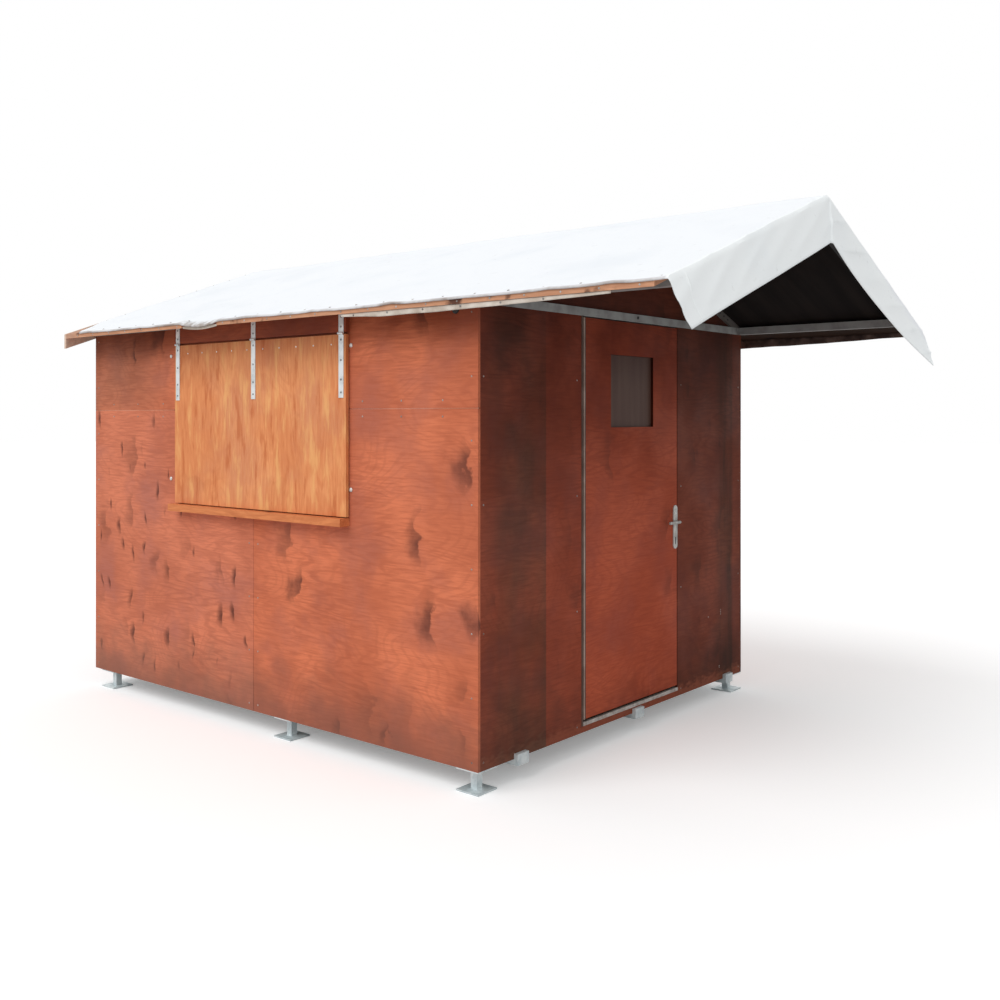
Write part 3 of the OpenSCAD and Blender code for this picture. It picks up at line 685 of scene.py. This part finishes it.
def sawn_wood(name, pale, deep, rot, rot_low):
    """Sawn board with spots of rot, fewer with a higher start."""
    material, tree, shader, place = finish(name)
    veneer = use(tree, ply_effect, {"Place": place})
    spots = mottle(tree, place, 7.0, 7.0)[0]
    tone = layered(tree, pale, [
        (times(tree, veneer["Figure"], 0.35), deep),
        (span(tree, veneer["Fibre"], 0.3, 0.75, 0.0, 0.5), deep),
        (span(tree, spots, rot_low, rot_low + rot_fade), rot)])
    tree.links.new(tone, shader.inputs["Base Color"])
    shader.inputs["Roughness"].default_value = 0.75
    shader.inputs["Specular IOR Level"].default_value = 0.2
    height = put(tree, "ShaderNodeBump", {"Strength": 0.4, "Distance": 0.003, "Height": veneer["Fibre"]})
    tree.links.new(height.outputs[0], shader.inputs["Normal"])
    return material


eave_wood = sawn_wood("eave_wood", stain(212, 158, 124), stain(166, 110, 82), stain(96, 62, 48), 0.58)
greyed_end = (X, left_face + 0.15, left_face)
# The rear eave board is darkened nearly to black: painted shade inside the canopy.
rear_board_shade = (Y, 0.0, 0.3)
patch(eave_wood, [greyed_end], (0.86, 0.98, 1.15), 1.0)
patch(eave_wood, [rear_board_shade], (0.05, 0.05, 0.05), 1.0)
dress(eave_wood, "eave_boards")
verge_wood = sawn_wood("verge_wood", stain(226, 198, 178), stain(186, 156, 136), stain(122, 102, 90), 0.62)
dress(verge_wood, "verge_boards")

# Roof tarpaulin
# One sheet of white coated cloth pulled over both slopes and nailed at the eaves. It lies in faint
# diagonal wrinkles, droops where the eave board is broken, and hangs on at the canopy's end as a flap.


def along(x):
    """A place on the X axis, measured from the hut's front left corner."""
    return from_corner(x, 0, 0).x


tarp_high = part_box("roof_tarp")[1]
cloth_t = 0.0016
ridge_z = tarp_high[Z] - cloth_t
ridge_soft = 0.005
board_show = 0.004
sheet_x0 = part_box("roof_boards_front")[0][X] + board_show
sheet_x1 = tarp_high[X]
half_span = tarp_high[Y]
bare_eave = 0.145
bare_run = 0.3
left_sway = 0.006
broken_x0 = along(1.125)
broken_x1 = along(1.425)
droop_depth = 0.020
crumple_share = 0.35
fold_height = 0.0045
ripple_height = 0.002
ruffle_height = 0.004
ruffle_run = 0.12


def wrinkle(x, y):
    """Low diagonal folds, in metres over the boards."""
    lay = Vector((1.1 * x + 1.5 * abs(y), 4.0 * abs(y) - 2.0 * x, 0.0))
    fold = 1.0 - abs(noise.noise(lay))
    ripple = noise.noise(Vector((x * 2.2, y * 2.2, 3.0)))
    return fold_height * fold ** 6 + ripple_height * max(0.0, ripple)


def droop(x):
    """How far the edge sags over the broken-out stretch of the eave board."""
    share = (x - broken_x0) / (broken_x1 - broken_x0)
    if not 0.0 < share < 1.0:
        return 0.0
    crumple = 1.0 + crumple_share * noise.noise(Vector((x * 23.0, 0.0, 1.0)))
    return droop_depth * math.sin(math.pi * share) ** 0.6 * crumple


def left_edge(y):
    """The sheet's left edge; it is pulled back at the eave corners."""
    near = max(0.0, 1.0 - (half_span - abs(y)) / bare_run)
    return sheet_x0 + bare_eave * near ** 1.5 + left_sway * noise.noise(Vector((y * 5.0, 0.0, 9.0)))


def slope_height(y):
    """The sheet's height over a place, rounded off at the ridge."""
    return ridge_z - roof_slope * (math.sqrt(y * y + ridge_soft * ridge_soft) - ridge_soft)


lip_drop = 0.010
lip_rows = [
    (half_span + 0.002, lip_drop),
    (half_span + 0.0025, lip_drop * 0.55),
    (half_span - 0.001, 0.002)]
lip_in = 0.004
columns_x = 150
columns_y = 100
ridge_fold = 0.007
seam_in = 0.10
seam_line = -half_span + seam_in
seam_half = 0.004
plain = [-half_span + lip_in + 2 * (half_span - lip_in) * j / columns_y for j in range(columns_y + 1)]
folds = [-ridge_fold, ridge_fold, seam_line - seam_half, seam_line, seam_line + seam_half]
across = [(-y, drop) for y, drop in lip_rows]
across += [(y, 0.0) for y in sorted(plain + folds)]
across += [(y, drop) for y, drop in reversed(lip_rows)]

flap_rows = 18
flap_drop = 0.213
front_short = 0.16
rear_long = 0.15
rake_back = 0.052
round_out = 0.008
round_drop = 0.005
flap_flare = 0.036
rear_flare = 2.2 * flap_flare
billow_depth = 0.006
crease_depth = 0.036
ridge_step = 0.009
step_drop = 0.03
seam_rise = 0.0022
flap_hem = 0.86
hem_rise = 0.0018
side_pull = 0.42
side_bulge = 0.02
tiny = 0.001
tarp_points = []
for y, drop in across:
    top = slope_height(y)
    end_share = abs(y) / half_span
    front_share = max(0.0, -y) / half_span
    rear_share = max(0.0, y) / half_span
    edge = max(0.0, 1.0 - (half_span - abs(y)) / ruffle_run)
    x0 = left_edge(y)
    end_x = sheet_x1 - rake_back * rear_share
    for i in range(columns_x + 1):
        x = x0 + (end_x - x0) * i / columns_x
        sag = droop(x) * edge ** 2 if y < 0 else 0.0
        ruffle = ruffle_height * edge ** 3 * noise.noise(Vector((x * 7.0, 2.0, 0.0)))
        tarp_points.append(Vector((x, y, top + wrinkle(x, y) + max(0.0, ruffle) - drop - sag)))
    longer = rear_long * math.sin(math.pi * min(1.0, rear_share))
    hang = flap_drop * (1.0 - front_short * front_share ** 2 + longer)
    reach = round_out + flap_flare * front_share ** 0.8 + rear_flare * rear_share ** 2
    for k in range(1, flap_rows + 1):
        share = k / flap_rows
        down = hang * share
        round_off = round_out * (1.0 - math.exp(-down / round_drop))
        flare = reach * share ** 1.2
        billow = billow_depth * share * noise.noise(Vector((y * 2.3, down * 3.0, 7.0)))
        fold = 1.0 - abs(noise.noise(Vector((y * 3.6 + down * 8.0, 0.0, 4.0))))
        crease = crease_depth * share * (1.0 - share) * fold ** 7
        overlap = ridge_step * (1.0 - math.exp(-down / step_drop)) if y > tiny else 0.0
        seam = seam_rise if abs(y - seam_line) < tiny else 0.0
        hem = hem_rise if share > flap_hem else 0.0
        pull = side_pull * down - side_bulge * math.sin(math.pi * share)
        lean = -math.copysign(pull * end_share ** 3, y)
        lip = drop * max(0.0, 1.0 - 4.0 * share)
        out = round_off + flare + billow + crease + overlap + seam + hem
        tarp_points.append(Vector((end_x + out, y + lean, top - down - lip)))
per_row = columns_x + 1 + flap_rows
tarp_faces = [(r * per_row + c, r * per_row + c + 1, (r + 1) * per_row + c + 1, (r + 1) * per_row + c)
              for r in range(len(across) - 1) for c in range(per_row - 1)]
roof_sheet = add_mesh("roof_sheet", tarp_points, tarp_faces)
roof_sheet.data.set_sharp_from_angle(angle=math.radians(26))
thick = roof_sheet.modifiers.new("thickness", "SOLIDIFY")
thick.thickness = cloth_t
thick.offset = -1.0

tarp_white, tarp_tree, tarp_shader, tarp_place = finish("tarp_white")
tarp_x, tarp_y = axes_of(tarp_tree, tarp_place)[:2]
roof_fade = 0.02
on_roof = (X, sheet_x1, sheet_x1 - roof_fade)
worn_in = 0.010
worn_out = 0.002
tarp_aside = work_out(tarp_tree, "ABSOLUTE", tarp_y)
tarp_edge = span(tarp_tree, tarp_aside, half_span - worn_in, half_span + worn_out)
tarp_inside = span(tarp_tree, tarp_x, *on_roof[1:])
tarp_patchy = span(tarp_tree, mottle(tarp_tree, tarp_place, 5.0, 5.0)[0], 0.36, 0.64, 0.3, 0.92)
tarp_worn = times(tarp_tree, times(tarp_tree, tarp_edge, tarp_inside), tarp_patchy)
torn_out = 0.08
torn_in = 0.06
torn_width = 0.05
torn_full = 0.005
tarp_from = span(tarp_tree, tarp_x, broken_x0 - torn_out, broken_x0 + torn_in)
tarp_to = span(tarp_tree, tarp_x, broken_x1 + torn_out, broken_x1 - torn_in)
tarp_near = span(tarp_tree, tarp_y, -half_span + torn_width, -half_span + torn_full)
tarp_crumpled = times(tarp_tree, tarp_near, cloud(tarp_tree, tarp_place, (26.0, 26.0, 26.0), 0.1, 0.9))
tarp_torn = times(tarp_tree, times(tarp_tree, tarp_from, tarp_to), tarp_crumpled)
tarp_cloud = mottle(tarp_tree, tarp_place, 2.6, 7.0)[0]
tarp_speck = mottle(tarp_tree, tarp_place, 30.0, 5.0)[0]
tarp_tone = layered(tarp_tree, stain(250, 254, 255), [
    (span(tarp_tree, tarp_cloud, 0.45, 0.8, 0.0, 0.5), stain(235, 242, 246)),
    (span(tarp_tree, tarp_speck, 0.62, 0.8, 0.0, 0.35), stain(206, 208, 208)),
    (tarp_worn, stain(132, 112, 98)),
    (tarp_torn, stain(150, 136, 122))])
tarp_tree.links.new(tarp_tone, tarp_shader.inputs["Base Color"])
tarp_shader.inputs["Roughness"].default_value = 0.48
tarp_weave = put(tarp_tree, "ShaderNodeTexWave", {0: tarp_place, "Scale": 220.0})
tarp_bump = put(tarp_tree, "ShaderNodeBump", {
    "Strength": 0.06, "Distance": 0.001, "Height": tarp_weave.outputs[1]})
tarp_tree.links.new(tarp_bump.outputs[0], tarp_shader.inputs["Normal"])
# Painted light: the cloth on the slopes is toned down so that the end flap, in shade, stays brighter than
# the roof.
patch(tarp_white, [on_roof], (0.94, 0.935, 0.96), 1.0)
give(roof_sheet, tarp_white, "house")
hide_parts("roof_tarp", "gable_flaps")

# Hems of the tarpaulin
# The sheet's turned edges come out under the eave boards, grey-beige in front from dirt and painted
# shade, painted dark at the rear as shade inside the canopy, and are held by rows of flat nails.
board_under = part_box("eave_boards")[0][Z]
board_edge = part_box("eave_boards")[0][Y]
hem_rows = 5


def worn_and_shaded_hem(name, pale, deep):
    """Cloth mottled between two tones, for dirt and painted shade."""
    material, tree, shader, place = finish(name)
    mask = cloud(tree, place, (12.0, 12.0, 12.0))
    tree.links.new(blend(tree, mask, pale, deep), shader.inputs["Base Color"])
    shader.inputs["Roughness"].default_value = 0.75
    shader.inputs["Specular IOR Level"].default_value = 0.15
    return material


def hem_strip(name, material, x0, x1, y, top, deepest, depth, sway=0.003, count=60):
    """A thin strip that hangs from one height, deepest at one place."""
    points = []
    for i in range(count + 1):
        x = x0 + (x1 - x0) * i / count
        away = (x - deepest) / ((x1 if x > deepest else x0) - deepest)
        fall = depth * (0.45 + 0.55 * math.cos(min(1.0, abs(away)) * math.pi / 2))
        fall *= 1.0 + 0.16 * noise.noise(Vector((x * 6.0, 0.0, 0.0)))
        wave = sway * noise.noise(Vector((x * 9.0, 5.0, 0.0)))
        for k in range(hem_rows):
            share = k / (hem_rows - 1)
            points.append((x, y + wave * share, top - fall * share))
    corners = [hem_rows * i + k for i in range(count) for k in range(hem_rows - 1)]
    faces = [(c, c + 1, c + hem_rows + 1, c + hem_rows) for c in corners]
    strip = add_mesh(name, points, faces)
    body = strip.modifiers.new("thickness", "SOLIDIFY")
    body.thickness = cloth_t
    give(strip, material, "house")
    return strip


hem_beige = worn_and_shaded_hem("hem_beige", stain(222, 213, 202), stain(184, 170, 156))
# Dark brown for the rear hem: painted shade inside the canopy.
hem_shaded = worn_and_shaded_hem("hem_shaded", stain(112, 92, 84), stain(58, 46, 42))
hem_in = 0.007
hem_line = half_span - hem_in
torn_gap = 0.005
front_hem = hem_strip("front_hem", hem_beige, along(2.337), along(3.775), -hem_line,
                      top=board_under - 0.0005, deepest=along(2.712), depth=0.024)
torn_hem = hem_strip("torn_hem", hem_beige, broken_x0 + torn_gap, broken_x1 - torn_gap, -hem_line,
                     top=board_under + 0.008, deepest=(broken_x0 + broken_x1) / 2, depth=0.022, sway=0.012)
rear_hem = hem_strip("rear_hem", hem_shaded, along(0.13), along(3.94), hem_line,
                     top=board_under + 0.002, deepest=along(2.7), depth=0.05, sway=0.012, count=160)

nail_zinc = zinc("nail_zinc", stain(186, 180, 174), stain(128, 118, 110))
nail_dark = zinc("nail_dark", stain(112, 104, 98), stain(76, 68, 62))
hem_nail_head = (0.0045, 0.002, 10)
hem_nail_start = 2.42
hem_nail_pitch = 0.21
hem_nail_down = 0.009
nail_over = 0.001
hem_nail_x = [along(hem_nail_start + hem_nail_pitch * i) for i in range(6)]
hem_nails = [(x, -hem_line - nail_over, board_under - hem_nail_down) for x in hem_nail_x]
give(heads("hem_nails", hem_nails, to_front, hem_nail_head), nail_dark, "house")
eave_nail_head = (0.0045, 0.0015, 10)
eave_nail_pitch = 0.17
eave_nail_up = 0.011
eave_nail_x = row(along(0.1), broken_x0 - 0.04, eave_nail_pitch)
eave_nail_x += row(broken_x1 + 0.05, along(3.9), eave_nail_pitch)
eave_nails = [(x, board_edge, board_under + eave_nail_up) for x in eave_nail_x]
give(heads("eave_nails", eave_nails, to_front, eave_nail_head), nail_zinc, "house")
slope_up = (0.0, -roof_slope, 1.0)
edge_nail_head = (0.0055, 0.003, 10)
edge_nail_shift = 0.08
edge_nail_in = 0.022
edge_nail_y = -half_span + edge_nail_in
edge_nail_z = slope_height(edge_nail_y) + nail_over
edge_nails = [(x + edge_nail_shift, edge_nail_y, edge_nail_z) for x in eave_nail_x
              if x + edge_nail_shift < sheet_x1]
give(heads("edge_nails", edge_nails, slope_up, edge_nail_head), nail_zinc, "house")
verge_nail_head = (0.0042, 0.002, 10)
verge_nail_in = 0.012
verge_nail_pitch = 0.128
verge_nail_eave = 0.12
verge_nail_ridge = 0.08
verge_nail_y = row(-half_span + verge_nail_eave, -verge_nail_ridge, verge_nail_pitch)
verge_nails = [(left_edge(y) + verge_nail_in, y, slope_height(y) + nail_over) for y in verge_nail_y]
give(heads("verge_nails", verge_nails, slope_up, verge_nail_head), nail_zinc, "house")

# Hatch
# An orange-stained plywood flap with upright grain that hangs on three galvanised straps from a board
# stained dark as painted shade under the eave, over a plain wooden ledge. Screws hold the straps and small
# nails run along its head.
hatch_ply = stained_ply("hatch_ply", stain(238, 162, 108), stain(208, 122, 76), stain(150, 80, 46),
                        grain_upright, dip=0.15, splash=0.0)
hatch_tree, hatch_socket, hatch_tone, hatch_place = colour_of(hatch_ply)
hatch_tall = stretched(hatch_tree, hatch_place, (16.0, 16.0, 3.2))
hatch_streak = mottle(hatch_tree, hatch_tall, 1.0, 4.0, Roughness=0.6)[0]
hatch_streaked = layered(hatch_tree, hatch_tone, [
    (span(hatch_tree, hatch_streak, 0.51, 0.68, 0.0, 0.65), stain(240, 182, 118)),
    (span(hatch_tree, hatch_streak, 0.46, 0.32, 0.0, 0.55), stain(184, 92, 48))])
hatch_tree.links.new(hatch_streaked, hatch_socket)
head_shade_run = 0.3
head_shade = (Z, flap_high[Z] - head_shade_run, flap_high[Z])
patch(hatch_ply, [head_shade], (0.68, 0.64, 0.64))
dress(hatch_ply, "hatch_flap")
# The header board's dark stain is painted shade under the eave.
header_ply = stained_ply("header_ply", stain(150, 76, 50), stain(116, 54, 36), stain(76, 42, 30),
                         grain_level_x, dip=0.3, splash=0.0)
dress(header_ply, "hatch_header")
ledge_wood = sawn_wood("ledge_wood", stain(224, 140, 88), stain(178, 98, 58), stain(120, 68, 44), 0.66)
dress(ledge_wood, "hatch_ledge")
strap_zinc = zinc("strap_zinc", stain(226, 230, 230), stain(196, 202, 202))
dress(strap_zinc, "hatch_straps", "hatch_hinge_leaves")
knuckle_out = 0.009
strap_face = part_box("hatch_hinge_leaves")[0][Y] + knuckle_out
strap_in = 0.030
strap_steps = (0.030, 0.125, 0.215, 0.275)
leaf_steps = (0.030, 0.075)
strap_head = (0.0052, 0.002, 12)
pin_over = 0.005
hinge_z = flap_high[Z] + pin_over
strap_columns = [flap_low[X] + strap_in, (flap_low[X] + flap_high[X]) / 2, flap_high[X] - strap_in]
strap_screws = [(x, strap_face, hinge_z - step) for x in strap_columns for step in strap_steps]
leaf_screws = [(x, strap_face, hinge_z + step) for x in strap_columns for step in leaf_steps]
screw_dark = zinc("screw_dark", stain(120, 122, 122), stain(92, 94, 94))
give(heads("strap_screws", strap_screws, to_front, strap_head), screw_dark, "hatch")
give(heads("leaf_screws", leaf_screws, to_front, strap_head), screw_dark, "house")
flap_nail_head = (0.004, 0.0015, 10)
flap_nail_pitch = 0.13
flap_nail_down = 0.045
flap_nail_x = row(flap_low[X] + 0.12, flap_high[X] - 0.1, flap_nail_pitch)
flap_nails = [(x, flap_low[Y], flap_high[Z] - flap_nail_down) for x in flap_nail_x]
give(heads("flap_nails", flap_nails, to_front, flap_nail_head), bolt_zinc, "hatch")

# Door
# A plywood leaf on a tube frame, hung on a continuous galvanised hinge, with a dark pane let in from
# behind that carries painted reflections and painted shade, and a light metal lever set.
door_ply = stained_ply("door_ply", stain(190, 90, 60), stain(152, 66, 44), stain(84, 42, 31),
                       grain_level_y, dip=0.35, splash=0.35, reach=0.3)
door_shade = (Z, 0.8, wall_top)
patch(door_ply, [door_shade], (0.32, 0.26, 0.22))
pane_low, pane_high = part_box("door_window")
# Painted shade in the reveal around the pane.
soft = 0.002
reveal = [(X, end_face - soft / 4, end_face - soft), (X, pane_high[X], pane_high[X] + soft / 2)]
reveal += [(axis, pane_low[axis] - soft, pane_low[axis]) for axis in (Y, Z)]
reveal += [(axis, pane_high[axis] + soft, pane_high[axis]) for axis in (Y, Z)]
patch(door_ply, reveal, (0.18, 0.17, 0.17), 1.0)
dress(door_ply, "door_leaf")
strip_zinc = primer("strip_zinc", stain(178, 156, 144), stain(150, 128, 118))
hinge_line = (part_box("door_hinge_strip")[0][Y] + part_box("door_hinge_knuckles")[1][Y]) / 2
hinge_half = 0.0035
hinge_fade = 0.001
# Dark lines beside the knuckles: painted shade in the gaps of the hinge.
for side in (-1, 1):
    plate_edge = hinge_line + side * hinge_half
    patch(strip_zinc, [(Y, plate_edge, plate_edge + side * hinge_fade)], (0.30, 0.25, 0.23), 1.0)
dress(strip_zinc, "door_hinge_strip", "door_hinge_knuckles")
sill_zinc = zinc("sill_zinc", stain(190, 182, 174), stain(146, 132, 122))
dress(sill_zinc, "door_threshold")
# The pane is opaque: its dark brown is painted shade for the dim inside, its upright streaks are painted
# reflections, and its upper half gets painted shade.
pane_dark, pane_tree, pane_shader, pane_place = finish("pane_dark")
pane_tall = stretched(pane_tree, pane_place, (1.0, 14.0, 1.2))
pane_reflection_streak = span(pane_tree, mottle(pane_tree, pane_tall, 1.0, 3.0)[0], 0.35, 0.7)
pane_tree.links.new(blend(pane_tree, pane_reflection_streak, stain(82, 59, 51), stain(90, 68, 59)),
                    pane_shader.inputs["Base Color"])
pane_shader.inputs["Roughness"].default_value = 0.4
pane_shader.inputs["Specular IOR Level"].default_value = 0.1
pane_shade = (Z, (pane_low[Z] + pane_high[Z]) / 2, pane_high[Z])
patch(pane_dark, [pane_shade], (0.76, 0.68, 0.68), 1.0)
dress(pane_dark, "door_window")
handle_grey = zinc("handle_grey", stain(182, 180, 174), stain(142, 138, 132))
dress(handle_grey, "handle_plates", "door_lever")
plate_low, plate_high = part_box("handle_plates")
lever_low, lever_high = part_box("door_lever")
plate_face = plate_high[X]
plate_mid = (plate_low[Y] + plate_high[Y]) / 2
lever_height = (lever_low[Z] + lever_high[Z]) / 2
plate_screw_head = (0.007, 0.003, 16)
plate_screw_up = 0.044
plate_screw = (plate_face, plate_mid, lever_height + plate_screw_up)
give(heads("plate_screw", [plate_screw], to_right, plate_screw_head), bolt_zinc, "door")
# The key slot is a row of black dots: painted shade inside the slot.
slot_head = (0.0042, 0.0006, 12)
slot_down = 0.085
slot_top = lever_height - slot_down
slot_step = 0.005
slot_spots = [(plate_face, plate_mid, slot_top - slot_step * i) for i in range(7)]
give(heads("key_slot", slot_spots, to_right, slot_head), cap_black, "door")
